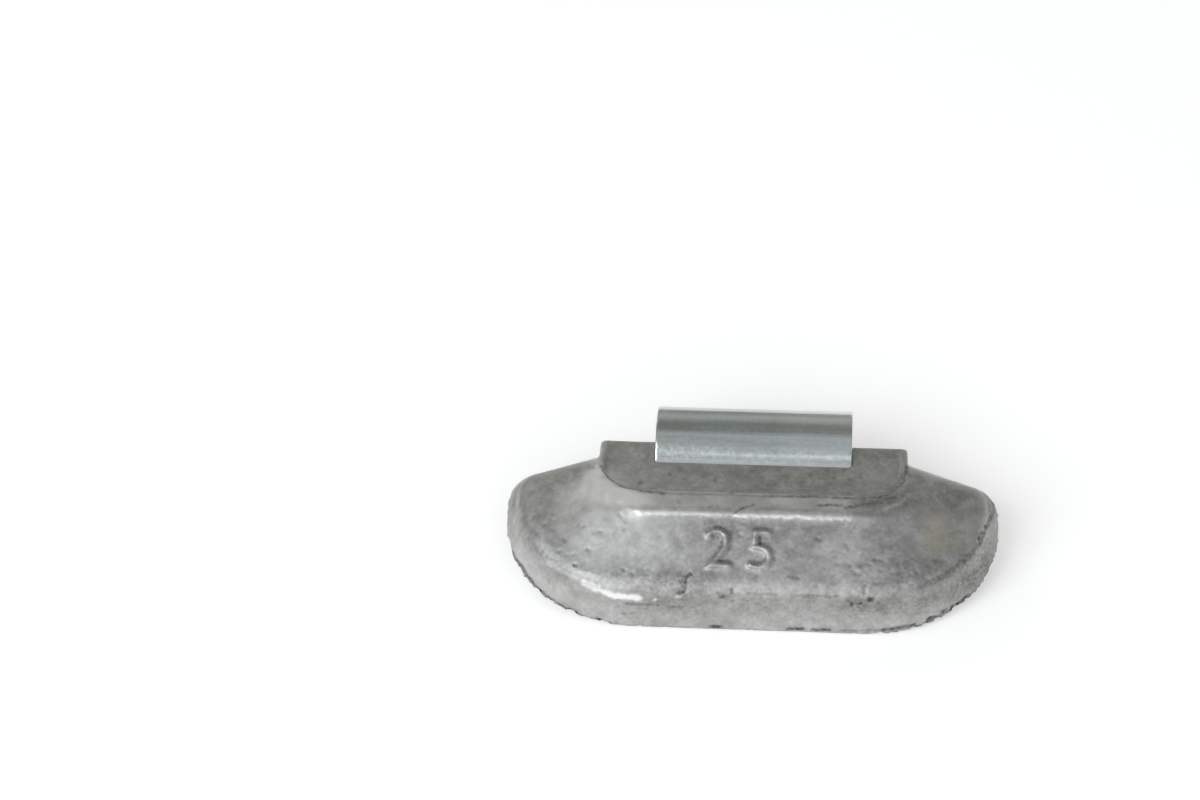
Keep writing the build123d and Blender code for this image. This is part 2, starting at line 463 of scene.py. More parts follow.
class Surface:
    """Vertices of a mesh as arrays, with the layers that its finish reads.

    Attributes:
        LAYERS: Names of the layers, each from 0 to 1.
        SEED_SHIFT: How far a seed of 1 moves a noise along each axis, in lumps.
        RAGGED: Noise that frays the outlines of marks, in half widths.
        COLOUR_GAIN: How much sooner than the depth a mark's colour is full.
    """

    # Layers: dirt with painted shade, worn brightening with painted highlights, and tarnish.
    LAYERS = ("dirt_and_shade", "rub", "tarnish")
    SEED_SHIFT = (1.0, -0.7, 1.3)
    RAGGED = NoiseField(0.45, 9.0, 0.0, 0.7)
    COLOUR_GAIN = 1.8

    def __init__(self, mesh: bpy.types.Mesh) -> None:
        """Reads the mesh.

        Args:
            mesh: A closed mesh in metres.
        """
        self.mesh = mesh
        self.points = self._vectors("co")
        self.normals = self._vectors("normal")
        pairs = np.empty(len(mesh.edges) * 2, dtype=np.int64)
        mesh.edges.foreach_get("vertices", pairs)
        self.first, self.second = pairs.reshape(-1, 2).T
        self.degree = np.bincount(pairs, minlength=len(self.points))
        self.layers = {name: np.zeros(len(self.points)) for name in self.LAYERS}
        self.ragged = self.noise(self.RAGGED)

    def _vectors(self, name: str) -> np.ndarray:
        """Reads one vector a vertex.

        Args:
            name: What is read, such as the places or the normals.

        Returns:
            One row a vertex.
        """
        values = np.empty(len(self.mesh.vertices) * 3)
        self.mesh.vertices.foreach_get(name, values)
        return values.reshape(-1, 3)

    def _mean(self, at_first: np.ndarray, at_second: np.ndarray) -> np.ndarray:
        """Averages over the edges that meet at each vertex.

        Args:
            at_first: What each edge brings to its first vertex.
            at_second: What it brings to its second.

        Returns:
            One value a vertex.
        """
        count = len(self.points)
        total = np.bincount(self.first, at_first, count) + np.bincount(self.second, at_second, count)
        return total / self.degree

    def noise(self, field: NoiseField) -> np.ndarray:
        """Samples a noise.

        Args:
            field: The noise.

        Returns:
            One value a vertex.
        """
        shift = Vector([field.seed * share for share in self.SEED_SHIFT])
        places = self.points / (field.size * MM)
        values = np.array([noise.noise(Vector(place) + shift) for place in places])
        return field.level + field.swing * values

    def convexity(self, passes: int) -> np.ndarray:
        """How far each vertex stands out of its neighbours: positive on edges, negative in corners.

        Args:
            passes: Times that the value is spread to the neighbours.

        Returns:
            One value a vertex.
        """
        run = self.points[self.second] - self.points[self.first]
        run /= np.linalg.norm(run, axis=1)[:, None]
        out_first = -np.sum(run * self.normals[self.first], axis=1)
        out_second = np.sum(run * self.normals[self.second], axis=1)
        value = self._mean(out_first, out_second)
        for _ in range(passes):
            near = self._mean(value[self.second], value[self.first])
            value = (1.0 - SMOOTH_STEP) * value + SMOOTH_STEP * near
        return value

    def soften(self, weight: np.ndarray, passes: int) -> None:
        """Rounds the surface where the weight says so.

        Args:
            weight: Share of each pass, from 0 to 1, one a vertex.
            passes: How often each vertex goes towards its neighbours.
        """
        for _ in range(passes):
            for axis in range(3):
                values = self.points[:, axis]
                near = self._mean(values[self.second], values[self.first])
                self.points[:, axis] = values + SMOOTH_STEP * weight * (near - values)
        self.mesh.vertices.foreach_set("co", self.points.ravel())
        self.mesh.update()
        self.normals = self._vectors("normal")

    def distance(self, path: np.ndarray) -> np.ndarray:
        """Shortest distance of every vertex to a path, in millimetres.

        Args:
            path: World points of the path, one or more.

        Returns:
            One value a vertex.
        """
        nearest = np.linalg.norm(self.points - path[0], axis=1)
        for start, end in zip(path[:-1], path[1:]):
            run = end - start
            share = np.clip((self.points - start) @ run / (run @ run), 0.0, 1.0)
            gap = np.linalg.norm(self.points - (start + share[:, None] * run), axis=1)
            nearest = np.minimum(nearest, gap)
        return nearest / MM

    def press(self, kind: MarkKind, path: np.ndarray, width: float, depth: float, strength: float) -> None:
        """Presses a mark into the surface and colours its layers.

        Args:
            kind: What the mark does.
            path: World points that it follows.
            width: Half of its width.
            depth: How deep it sinks, if its kind sinks fully.
            strength: How strongly it colours the layers.
        """
        sink, dirt_and_shade, rub = kind.value
        ragged = self.distance(path) / width + self.ragged
        shape = np.exp(-np.clip(ragged, 0.0, None) ** 2)
        self.points -= self.normals * (shape * sink * depth * MM)[:, None]
        colour = np.clip(self.COLOUR_GAIN * shape, 0.0, 1.0) * strength
        # A mark adds to the dirt and painted shade, and to the worn brightening and painted highlights.
        for name, share in (("dirt_and_shade", dirt_and_shade), ("rub", rub)):
            self.layers[name] = np.maximum(self.layers[name], colour * share)

    def write(self) -> None:
        """Puts the points and layers back into the mesh, shaded smooth."""
        self.mesh.vertices.foreach_set("co", self.points.ravel())
        for name, values in self.layers.items():
            layer = self.mesh.attributes.new(name, "FLOAT", "POINT")
            layer.data.foreach_set("value", np.clip(values, 0.0, 1.0).astype(np.float32))
        self.mesh.shade_smooth()
        self.mesh.update()


def merged_copy(node: bpy.types.Object) -> bmesh.types.BMesh:
    """Copy of a CAD node with its loose triangles merged.

    Args:
        node: The CAD node.

    Returns:
        A new bmesh in metres.
    """
    work = bmesh.new()
    work.from_mesh(node.data)
    bmesh.ops.remove_doubles(work, verts=work.verts, dist=MERGE_GAP * MM)
    return work


def evaluated_mesh(holder: bpy.types.Object) -> bpy.types.Mesh:
    """New mesh of an object as its text or its modifiers make it."""
    depsgraph = bpy.context.evaluated_depsgraph_get()
    return bpy.data.meshes.new_from_object(holder.evaluated_get(depsgraph))


def voxel_skin(work: bmesh.types.BMesh, name: str, voxel: float, smoothing: int) -> bpy.types.Mesh:
    """Even mesh over closed shapes, with their overlaps joined and their edges softened.

    Args:
        work: Closed shapes, freed here.
        name: Name of the new mesh.
        voxel: Size of its faces.
        smoothing: Passes that soften the edges.

    Returns:
        The new mesh.
    """
    rough = bpy.data.meshes.new(name + "_rough")
    work.to_mesh(rough)
    work.free()
    holder = bpy.data.objects.new(name + "_rough", rough)
    bpy.context.scene.collection.objects.link(holder)
    remesh = holder.modifiers.new("voxel", "REMESH")
    remesh.mode = "VOXEL"
    remesh.voxel_size = voxel * MM
    mesh = evaluated_mesh(holder)
    mesh.name = name
    bpy.data.objects.remove(holder)
    bpy.data.meshes.remove(rough)
    soft = bmesh.new()
    soft.from_mesh(mesh)
    for _ in range(smoothing):
        bmesh.ops.smooth_vert(
            soft, verts=soft.verts, factor=SMOOTH_STEP, use_axis_x=True, use_axis_y=True, use_axis_z=True
        )
    soft.to_mesh(mesh)
    soft.free()
    return mesh


def finished_piece(
    mesh: bpy.types.Mesh, node: str, material: bpy.types.Material
) -> bpy.types.Object:
    """Object that stands for a CAD node.

    Args:
        mesh: Its finished mesh.
        node: The CAD node that it replaces.
        material: Its finish.

    Returns:
        The new object, riding on the part.
    """
    piece = bpy.data.objects.new(mesh.name, mesh)
    bpy.context.scene.collection.objects.link(piece)
    mesh.materials.clear()
    mesh.materials.append(material)
    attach(piece, "root")
    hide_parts(node)
    return piece


def feed(tree: bpy.types.NodeTree, source: Source, target: bpy.types.NodeSocket) -> None:
    """Links a socket to an input, or sets the input to a plain value.

    Args:
        tree: Nodes that both belong to.
        source: Socket or value.
        target: The input.
    """
    if isinstance(source, bpy.types.NodeSocket):
        tree.links.new(source, target)
    else:
        target.default_value = source


def math_node(
    tree: bpy.types.NodeTree, operation: str, first: Source, second: Source
) -> bpy.types.NodeSocket:
    """Adds a sum of two sockets or values.

    Args:
        tree: Nodes that it joins.
        operation: What is done with the two.
        first: Socket or value.
        second: Socket or value.

    Returns:
        The result.
    """
    node = tree.nodes.new("ShaderNodeMath")
    node.operation = operation
    feed(tree, first, node.inputs[0])
    feed(tree, second, node.inputs[1])
    return node.outputs["Value"]


@dataclass(frozen=True)
class Texture:
    """Noise in a finish, from 0 to 1.

    Attributes:
        size: Size of its lumps.
        detail: Octaves of finer noise.
        stretch: Scale along each axis: under 1 draws the lumps out.
    """

    size: float
    detail: float
    stretch: tuple[float, float, float] = (1.0, 1.0, 1.0)


class Shader:
    """A node material under construction.

    Attributes:
        MIDDLE: Range that most of a noise falls in.
    """

    MIDDLE = (0.3, 0.7)

    def __init__(self, name: str) -> None:
        """Starts a material with its principled shader.

        Args:
            name: Name of the material.
        """
        self.material = bpy.data.materials.new(name)
        self.material.use_nodes = True
        self.tree = self.material.node_tree
        self.surface = self.tree.nodes["Principled BSDF"]
        self.coords = self.tree.nodes.new("ShaderNodeTexCoord").outputs["Object"]

    def put(self, name: str, source: Source) -> None:
        """Feeds an input of the principled shader."""
        feed(self.tree, source, self.surface.inputs[name])

    def noise(self, texture: Texture) -> bpy.types.NodeSocket:
        """Adds a noise on object coordinates.

        Args:
            texture: The noise.

        Returns:
            The factor, from 0 to 1.
        """
        mapping = self.tree.nodes.new("ShaderNodeMapping")
        mapping.inputs["Scale"].default_value = texture.stretch
        self.tree.links.new(self.coords, mapping.inputs["Vector"])
        node = self.tree.nodes.new("ShaderNodeTexNoise")
        node.inputs["Scale"].default_value = 1 / (texture.size * MM)
        node.inputs["Detail"].default_value = texture.detail
        self.tree.links.new(mapping.outputs["Vector"], node.inputs["Vector"])
        return node.outputs["Fac"]

    def layer(self, name: str) -> bpy.types.NodeSocket:
        """Reads a layer of the mesh.

        Args:
            name: Name of the layer.

        Returns:
            Its value, from 0 to 1.
        """
        node = self.tree.nodes.new("ShaderNodeAttribute")
        node.attribute_name = name
        return node.outputs["Fac"]

    def spread(self, factor: bpy.types.NodeSocket, span: Span) -> bpy.types.NodeSocket:
        """Stretches the middle of a noise over a range.

        Args:
            factor: Noise from 0 to 1.
            span: Results at the two ends of the noise's middle.

        Returns:
            The stretched value.
        """
        node = self.tree.nodes.new("ShaderNodeMapRange")
        for name, values in (("From", self.MIDDLE), ("To", span)):
            node.inputs[name + " Min"].default_value = values[0]
            node.inputs[name + " Max"].default_value = values[1]
        self.tree.links.new(factor, node.inputs["Value"])
        return node.outputs["Result"]

    def math(self, operation: str, first: Source, second: Source) -> bpy.types.NodeSocket:
        """Result of a sum of two sockets or values."""
        return math_node(self.tree, operation, first, second)

    def mix(self, factor: Source, first: Source, second: Source, blend: str = "MIX") -> bpy.types.NodeSocket:
        """Colour between two colours.

        Args:
            factor: Share of the second.
            first: Socket or colour.
            second: Socket or colour.
            blend: How the second goes over the first.

        Returns:
            The mixed colour.
        """
        node = self.tree.nodes.new("ShaderNodeMix")
        node.data_type = "RGBA"
        node.blend_type = blend
        sockets = {socket.identifier: socket for socket in node.inputs}
        feed(self.tree, factor, sockets["Factor_Float"])
        feed(self.tree, first, sockets["A_Color"])
        feed(self.tree, second, sockets["B_Color"])
        return next(socket for socket in node.outputs if socket.identifier == "Result_Color")

    def shade(self, tone: Source, factor: bpy.types.NodeSocket, span: Span) -> bpy.types.NodeSocket:
        """Colour made darker and lighter by a noise that is spread over a range."""
        return self.mix(1.0, tone, self.spread(factor, span), "MULTIPLY")

    def bump(self, height: bpy.types.NodeSocket, distance: float, strength: float) -> None:
        """Adds fine relief to the surface.

        Args:
            height: Relief from 0 to 1.
            distance: Its depth.
            strength: How strongly it turns the light.
        """
        node = self.tree.nodes.new("ShaderNodeBump")
        node.inputs["Distance"].default_value = distance * MM
        node.inputs["Strength"].default_value = strength
        self.tree.links.new(height, node.inputs["Height"])
        self.put("Normal", node.outputs["Normal"])


@dataclass(frozen=True)
class CastZincFinish:
    """Dull die-cast zinc: cloudy grey, dark in its pits and under painted shade, brighter where it is worn
    and under painted highlights.

    Attributes:
        dull: Darker colour of the clouds.
        pale: Lighter colour of the clouds.
        tarnish: Colour of the yellowed places.
        rub_and_highlight_tone: Colour of the worn places and the painted highlights.
        soot_and_shade: Colour of the dirt and the painted shade.
        clouds: Noise that runs between the dull and the pale colour.
        mottle: Noise of the middle size.
        mottle_tone: How it darkens and lightens the colour.
        flecks: Fine noise.
        fleck_tone: How it darkens and lightens the colour.
        specks: Noise that breaks up the dirt and the painted shade.
        speck_dirt_and_shade: How it weakens and strengthens the dirt and the painted shade.
        roughness: Range that the mottle gives the roughness.
        polish: How much smoother the worn places and the painted highlights are.
        grain: Noise of the finest relief.
        grain_share: Its share beside the mottle.
        relief: Depth of the relief, and how strongly it turns the light.
    """

    dull: Colour = (0.400, 0.400, 0.388, 1.0)
    pale: Colour = (0.520, 0.520, 0.510, 1.0)
    tarnish: Colour = (0.580, 0.560, 0.440, 1.0)
    rub_and_highlight_tone: Colour = (0.950, 0.955, 0.950, 1.0)
    soot_and_shade: Colour = (0.090, 0.088, 0.082, 1.0)
    clouds: Texture = Texture(5.0, 3.0)
    mottle: Texture = Texture(1.1, 4.0)
    mottle_tone: Span = (0.81, 1.15)
    flecks: Texture = Texture(0.4, 2.0)
    fleck_tone: Span = (0.87, 1.11)
    specks: Texture = Texture(0.35, 2.0)
    speck_dirt_and_shade: Span = (0.6, 1.4)
    roughness: Span = (0.42, 0.56)
    polish: float = 0.12
    grain: Texture = Texture(0.16, 2.0)
    grain_share: float = 0.5
    relief: tuple[float, float] = (0.03, 0.5)

    def material(self) -> bpy.types.Material:
        """Makes the finish.

        Returns:
            A node material.
        """
        shader = Shader("cast_zinc")
        cloud = shader.spread(shader.noise(self.clouds), (0.0, 1.0))
        mottle = shader.noise(self.mottle)
        rub = shader.layer("rub")
        tone = shader.mix(cloud, self.dull, self.pale)
        tone = shader.shade(tone, mottle, self.mottle_tone)
        tone = shader.shade(tone, shader.noise(self.flecks), self.fleck_tone)
        tone = shader.mix(shader.layer("tarnish"), tone, self.tarnish)
        # Worn places and painted highlights go towards a near white.
        tone = shader.mix(rub, tone, self.rub_and_highlight_tone)
        speckle = shader.spread(shader.noise(self.specks), self.speck_dirt_and_shade)
        # Dirt and painted shade darken the colour towards a near black.
        dirt_and_shade = shader.math("MULTIPLY", shader.layer("dirt_and_shade"), speckle)
        shader.put("Base Color", shader.mix(dirt_and_shade, tone, self.soot_and_shade))
        shader.put("Metallic", 1.0)
        polish = shader.math("MULTIPLY", rub, self.polish)
        shader.put("Roughness", shader.math("SUBTRACT", shader.spread(mottle, self.roughness), polish))
        grain = shader.math("MULTIPLY", shader.noise(self.grain), self.grain_share)
        shader.bump(shader.math("ADD", grain, mottle), *self.relief)
        return shader.material


@dataclass(frozen=True)
class PlatedSteelFinish:
    """Bright zinc plating on rolled strip: cool grey, faintly streaked along the strip's width.

    Attributes:
        plating: Colour of the plating.
        cloud: Colour of its clouds.
        bright: Colour of the painted highlights and the worn places.
        soot_and_shade: Colour of the dirt and the painted shade.
        clouds: Noise that runs between the plating's colour and the clouds'.
        streaks: Noise of the rolled streaks.
        streak_tone: How they darken and lighten the colour.
        specks: Fine noise.
        speck_tone: How it darkens and lightens the colour.
        roughness: Range that the specks give the roughness.
        relief: Depth of the streaks, and how strongly they turn the light.
    """

    plating: Colour = (0.525, 0.592, 0.602, 1.0)
    cloud: Colour = (0.520, 0.545, 0.530, 1.0)
    bright: Colour = (0.950, 0.960, 0.955, 1.0)
    soot_and_shade: Colour = (0.110, 0.110, 0.105, 1.0)
    clouds: Texture = Texture(3.0, 3.0)
    streaks: Texture = Texture(0.5, 3.0, (0.06, 1.0, 1.0))
    streak_tone: Span = (0.90, 1.08)
    specks: Texture = Texture(0.35, 2.0)
    speck_tone: Span = (0.95, 1.05)
    roughness: Span = (0.14, 0.20)
    relief: tuple[float, float] = (0.01, 0.2)

    def material(self) -> bpy.types.Material:
        """Makes the finish.

        Returns:
            A node material.
        """
        shader = Shader("plated_spring_steel")
        cloud = shader.spread(shader.noise(self.clouds), (0.0, 1.0))
        streaks = shader.noise(self.streaks)
        specks = shader.noise(self.specks)
        tone = shader.mix(cloud, self.plating, self.cloud)
        tone = shader.shade(tone, streaks, self.streak_tone)
        tone = shader.shade(tone, specks, self.speck_tone)
        # Painted highlights and worn places go towards a near white.
        tone = shader.mix(shader.layer("rub"), tone, self.bright)
        shader.put("Base Color", shader.mix(shader.layer("dirt_and_shade"), tone, self.soot_and_shade))
        shader.put("Metallic", 1.0)
        shader.put("Roughness", shader.spread(specks, self.roughness))
        shader.bump(streaks, *self.relief)
        return shader.material


def search_tree(mesh: bpy.types.Mesh) -> BVHTree:
    """Search tree over a mesh."""
    corners = [vertex.co for vertex in mesh.vertices]
    return BVHTree.FromPolygons(corners, [face.vertices[:] for face in mesh.polygons])


def gaps_to(points: np.ndarray, mesh: bpy.types.Mesh) -> np.ndarray:
    """Distance of each point to a mesh, in millimetres."""
    tree = search_tree(mesh)
    return np.array([tree.find_nearest(Vector(point))[3] for point in points]) / MM


def rise(values: np.ndarray, span: Span) -> np.ndarray:
    """Goes evenly from 0 at the first end of a span to 1 at its second, which may be the lower."""
    return np.clip((values - span[0]) / (span[1] - span[0]), 0.0, 1.0)


@dataclass(frozen=True)
class Ramp:
    """Grows with a value.

    Attributes:
        start: Value from which it grows.
        gain: How fast it grows.
        limit: Where it stops.
    """

    start: float
    gain: float
    limit: float

    def of(self, values: np.ndarray, share: np.ndarray | float = 1.0) -> np.ndarray:
        """Height of the ramp at values, with its slope cut down to a share."""
        return np.clip((values - self.start) * self.gain * share, 0.0, self.limit)


@dataclass(frozen=True)
class Zone:
    """Part of the weight that spans bound. A span that is left out doesn't bound it.

    Attributes:
        along: Bounds along the weight.
        ends: Bounds from the middle towards both ends.
        up: Bounds up the back.
        above: Bounds above the back.
        outside: Share that is left outside of the zone.
    """

    along: Span | None = None
    ends: Span | None = None
    up: Span | None = None
    above: Span | None = None
    outside: float = 0.0

    def share(self, places: np.ndarray) -> np.ndarray:
        """How far places lie in the zone.

        Args:
            places: Back places.

        Returns:
            One value a place, up to 1 inside.
        """
        x, y, z = places.T
        bounds = ((x, self.along), (np.abs(x), self.ends), (y, self.up), (z, self.above))
        inside = math.prod(rise(values, span) for values, span in bounds if span)
        return self.outside + (1.0 - self.outside) * inside


@dataclass(frozen=True)
class Figures:
    """The raised number on the crown.

    Attributes:
        text: The number.
        height: Height of its figures.
        stretch: Their width as a share of the font's.
        spacing: Their spacing as a share of the font's.
        relief: How far they stand out of the crown.
        root: How deep they start inside it.
        weight: What is added to the outline of their strokes.
        pixel: Pixel at their middle.
    """

    text: str = "25"
    height: float = 3.75
    stretch: float = 1.03
    spacing: float = 1.37
    relief: float = 0.26
    root: float = 0.30
    weight: float = -0.04
    pixel: Pixel = (739.0, 549.0)

    def _mesh(self) -> bpy.types.Mesh:
        """Makes the figures in the font's own plane.

        Returns:
            A new mesh in metres.
        """
        curve = bpy.data.curves.new("figures", "FONT")
        curve.body = self.text
        curve.extrude = (self.relief + self.root) / 2 * MM
        curve.size = self.height * MM
        curve.offset = self.weight * MM
        curve.space_character = self.spacing
        holder = bpy.data.objects.new("figures", curve)
        bpy.context.scene.collection.objects.link(holder)
        mesh = evaluated_mesh(holder)
        bpy.data.objects.remove(holder)
        bpy.data.curves.remove(curve)
        return mesh

    def add_to(self, work: bmesh.types.BMesh, tree: BVHTree, shot: Shot) -> None:
        """Adds the figures to the body, where the photograph shows them.

        Args:
            work: The body, which the figures join.
            tree: Search tree over the body.
            shot: View that their place is read from.
        """
        mesh = self._mesh()
        corners = np.array([vertex.co for vertex in mesh.vertices])
        low = Vector(corners.min(axis=0))
        high = Vector(corners.max(axis=0))
        grow = self.height * MM / (high.y - low.y)
        hit, normal, _, _ = tree.ray_cast(*shot.ray(self.pixel))
        along = Vector((1.0, 0.0, 0.0))
        axes = Matrix((along, normal.cross(along), normal)).transposed().to_4x4()
        lift = (self.relief - self.root) / 2 * MM
        place = Matrix.Translation(hit + normal * lift) @ axes
        place = place @ Matrix.Diagonal((grow * self.stretch, grow, 1.0, 1.0))
        mesh.transform(place @ Matrix.Translation(-(low + high) / 2))
        work.from_mesh(mesh)
        bpy.data.meshes.remove(mesh)


@dataclass(frozen=True)
class Rounding:
    """The rounded edge between the crown and the side wall, and the lip's round left corner.

    Attributes:
        ends: Zone of the two ends.
        bottom: Zone of the bottom wall.
        front: Zone above the edge of the back.
        shoulders: Zone below the shoulders, which themselves are rounded less.
        passes: How often the edge is softened.
        corner: Place of the lip's left corner on the back.
        corner_reach: Distance over which its rounding fades.
        corner_passes: How often the corner is softened.
    """

    ends: Zone = Zone(ends=(15.8, 17.0))
    bottom: Zone = Zone(up=(3.2, 2.4))
    front: Zone = Zone(above=(0.5, 1.2))
    shoulders: Zone = Zone(up=(12.0, 8.0), outside=0.2)
    passes: int = 60
    corner: Place = (-13.9, 10.0)
    corner_reach: float = 2.0
    corner_passes: int = 240

    def apply(self, surface: Surface, back: BackFrame) -> None:
        """Softens the edge and the corner.

        Args:
            surface: The body.
            back: Frame of its back.
        """
        places = back.places(surface.points)
        edge = np.maximum(self.ends.share(places), self.bottom.share(places))
        edge *= self.shoulders.share(places) * self.front.share(places)
        away = (places[:, :2] - self.corner) / self.corner_reach
        surface.soften(edge, self.passes)
        surface.soften(np.exp(-np.sum(away**2, axis=1)), self.corner_passes)


@dataclass(frozen=True)
class WearAndPaintedLight:
    """Where the casting is worn bright and carries painted highlights, and where dirt and painted shade
    darken it.

    Attributes:
        bend_passes: Times that the bend of the surface is spread to the neighbours.
        lip: Zone of the lip.
        land: Zone of the land inside the lip.
        front: Zone of the front.
        patches: Noise that breaks up the brightening.
        edge_rub_and_highlight: Worn brightening and painted highlight that grow with the bend of an edge.
        edge_share: Share of it off the lip.
        edge_fade: Zone of the bright edges, which fades at the right end, the side away from the light.
        crest_rub_and_highlight: Worn brightening and painted highlight on the lip's crest, round the land.
        crest_fade: Zone of that brightening, which fades at the right end, the side away from the light.
        corner_dirt_and_shade: Dirt and painted shade that grow with the bend of an inner corner.
        land_dirt_and_shade: Dirt and painted shade on the land.
        right_end: Zone of the right end.
        end_dirt_and_shade: Dirt and painted shade on it, as a noise.
        behind: Zone of the back.
        back_dirt: Dirt on it, as a noise.
        back_specks: Fine specks in that dirt, as a noise.
    """

    bend_passes: int = 4
    lip: Zone = Zone(ends=(16.4, 15.8), up=(8.0, 8.8))
    land: Zone = Zone(ends=(14.4, 14.1), up=(11.7, 12.3))
    front: Zone = Zone(above=(1.0, 1.6))
    patches: NoiseField = NoiseField(2.5, 4.0, 0.6, 0.6)
    edge_rub_and_highlight: Ramp = Ramp(0.03, 6.0, 0.7)
    edge_share: float = 0.25
    edge_fade: Zone = Zone(along=(17.0, 12.0))
    crest_rub_and_highlight: float = 0.40
    crest_fade: Zone = Zone(along=(13.0, 8.0))
    corner_dirt_and_shade: Ramp = Ramp(0.02, 8.0, 0.7)
    land_dirt_and_shade: float = 0.05
    right_end: Zone = Zone(along=(9.0, 17.0), up=(3.0, 5.0))
    end_dirt_and_shade: NoiseField = NoiseField(2.0, 6.0, 0.22, 0.11)
    behind: Zone = Zone(above=(0.4, 0.1))
    back_dirt: NoiseField = NoiseField(3.0, 7.0, 0.22, 0.18)
    back_specks: NoiseField = NoiseField(0.9, 8.0, 0.0, 0.12)

    def apply(self, surface: Surface, back: BackFrame) -> None:
        """Lays the worn brightening with its painted highlights, and the dirt with its painted shade, into
        the surface's layers.

        Args:
            surface: The body.
            back: Frame of its back.
        """
        places = back.places(surface.points)
        bend = surface.convexity(self.bend_passes)
        lip = self.lip.share(places)
        land = self.land.share(places)
        front = self.front.share(places)
        patchy = surface.noise(self.patches)
        share = (self.edge_share + (1.0 - self.edge_share) * lip) * self.edge_fade.share(places)
        edges = self.edge_rub_and_highlight.of(bend, share * patchy)
        crest = self.crest_rub_and_highlight * lip * (1.0 - land) * front * self.crest_fade.share(places) * patchy
        # Worn brightening and painted highlights on edges and the lip's crest, fading towards the right end,
        # the side away from the light.
        surface.layers["rub"] = np.maximum(edges, crest)
        # Dirt and painted shade in inner corners, on the land and on the right end; dirt on the back.
        corners = self.corner_dirt_and_shade.of(-bend)
        end = self.right_end.share(places) * surface.noise(self.end_dirt_and_shade)
        behind = surface.noise(self.back_dirt) + surface.noise(self.back_specks)
        behind *= self.behind.share(places)
        surface.layers["dirt_and_shade"] = np.maximum.reduce([corners, self.land_dirt_and_shade * land * front, end, behind])


@dataclass(frozen=True)
class CastSkin:
    """The casting's uneven skin and its bitten lower edge, with painted shade along that edge.

    Attributes:
        lumps: Depth of the broad lumps, as a noise.
        grain: Depth of the fine grain, as a noise.
        seat: Distance from the clip at which the skin may sink.
        edge_passes: Times that the edge's bend is spread to the neighbours.
        edge: How far a bend counts as the edge.
        edge_height: Height above the back over which the edge fades.
        bites: Noise that places the bites.
        bite_ends: Zone of the ends.
        end_bites: What is added to the bites there.
        bite_depth: Depth of a bite.
        bite_shade: Painted shade that grows with a bite.
        dashes: Noise that breaks up the painted line of shade along the edge.
        dash_level: Level of that noise at which the line shows.
        line: Zone of the line.
        line_ends: Zone of the ends, where the line is darkest.
        line_shade: How dark that painted shade is there.
    """

    lumps: NoiseField = NoiseField(2.4, 1.0, 0.02, -0.02)
    grain: NoiseField = NoiseField(0.6, 2.0, 0.01, -0.01)
    seat: Span = (0.105, 0.35)
    edge_passes: int = 2
    edge: Ramp = Ramp(0.0, 8.0, 1.0)
    edge_height: float = 0.45
    bites: NoiseField = NoiseField(0.8, 3.0, -0.6, 2.5)
    bite_ends: Zone = Zone(ends=(9.0, 15.0))
    end_bites: float = 0.7
    bite_depth: float = 0.20
    bite_shade: Ramp = Ramp(0.0, 1.6, 0.95)
    dashes: NoiseField = NoiseField(1.1, 5.0)
    dash_level: Span = (-0.3, 0.2)
    line: Zone = Zone(up=(12.0, 9.0))
    line_ends: Zone = Zone(ends=(8.0, 13.0), outside=0.3)
    line_shade: float = 0.9

    def apply(self, surface: Surface, back: BackFrame, clip: bpy.types.Mesh) -> None:
        """Sinks the skin, bites the lower edge, and paints shade along it and in its bites.

        Args:
            surface: The body.
            back: Frame of its back.
            clip: The clip, beside which the skin stays as it is.
        """
        places = back.places(surface.points)
        edge = self.edge.of(surface.convexity(self.edge_passes))
        edge *= np.exp(-((places[:, 2] / self.edge_height) ** 2))
        bite = surface.noise(self.bites) + self.end_bites * self.bite_ends.share(places)
        bite = edge * np.clip(bite, 0.0, 1.0)
        # A dashed line of painted shade along the lower edge, and painted shade in the bites.
        line = rise(surface.noise(self.dashes), self.dash_level) * self.line.share(places)
        line *= self.line_shade * edge * self.line_ends.share(places)
        bitten = self.bite_shade.of(bite)
        surface.layers["dirt_and_shade"] = np.maximum.reduce([surface.layers["dirt_and_shade"], line, bitten])
        free = rise(gaps_to(surface.points, clip), self.seat)
        sink = surface.noise(self.lumps) + surface.noise(self.grain) + self.bite_depth * bite
        surface.points -= surface.normals * (sink * free * MM)[:, None]


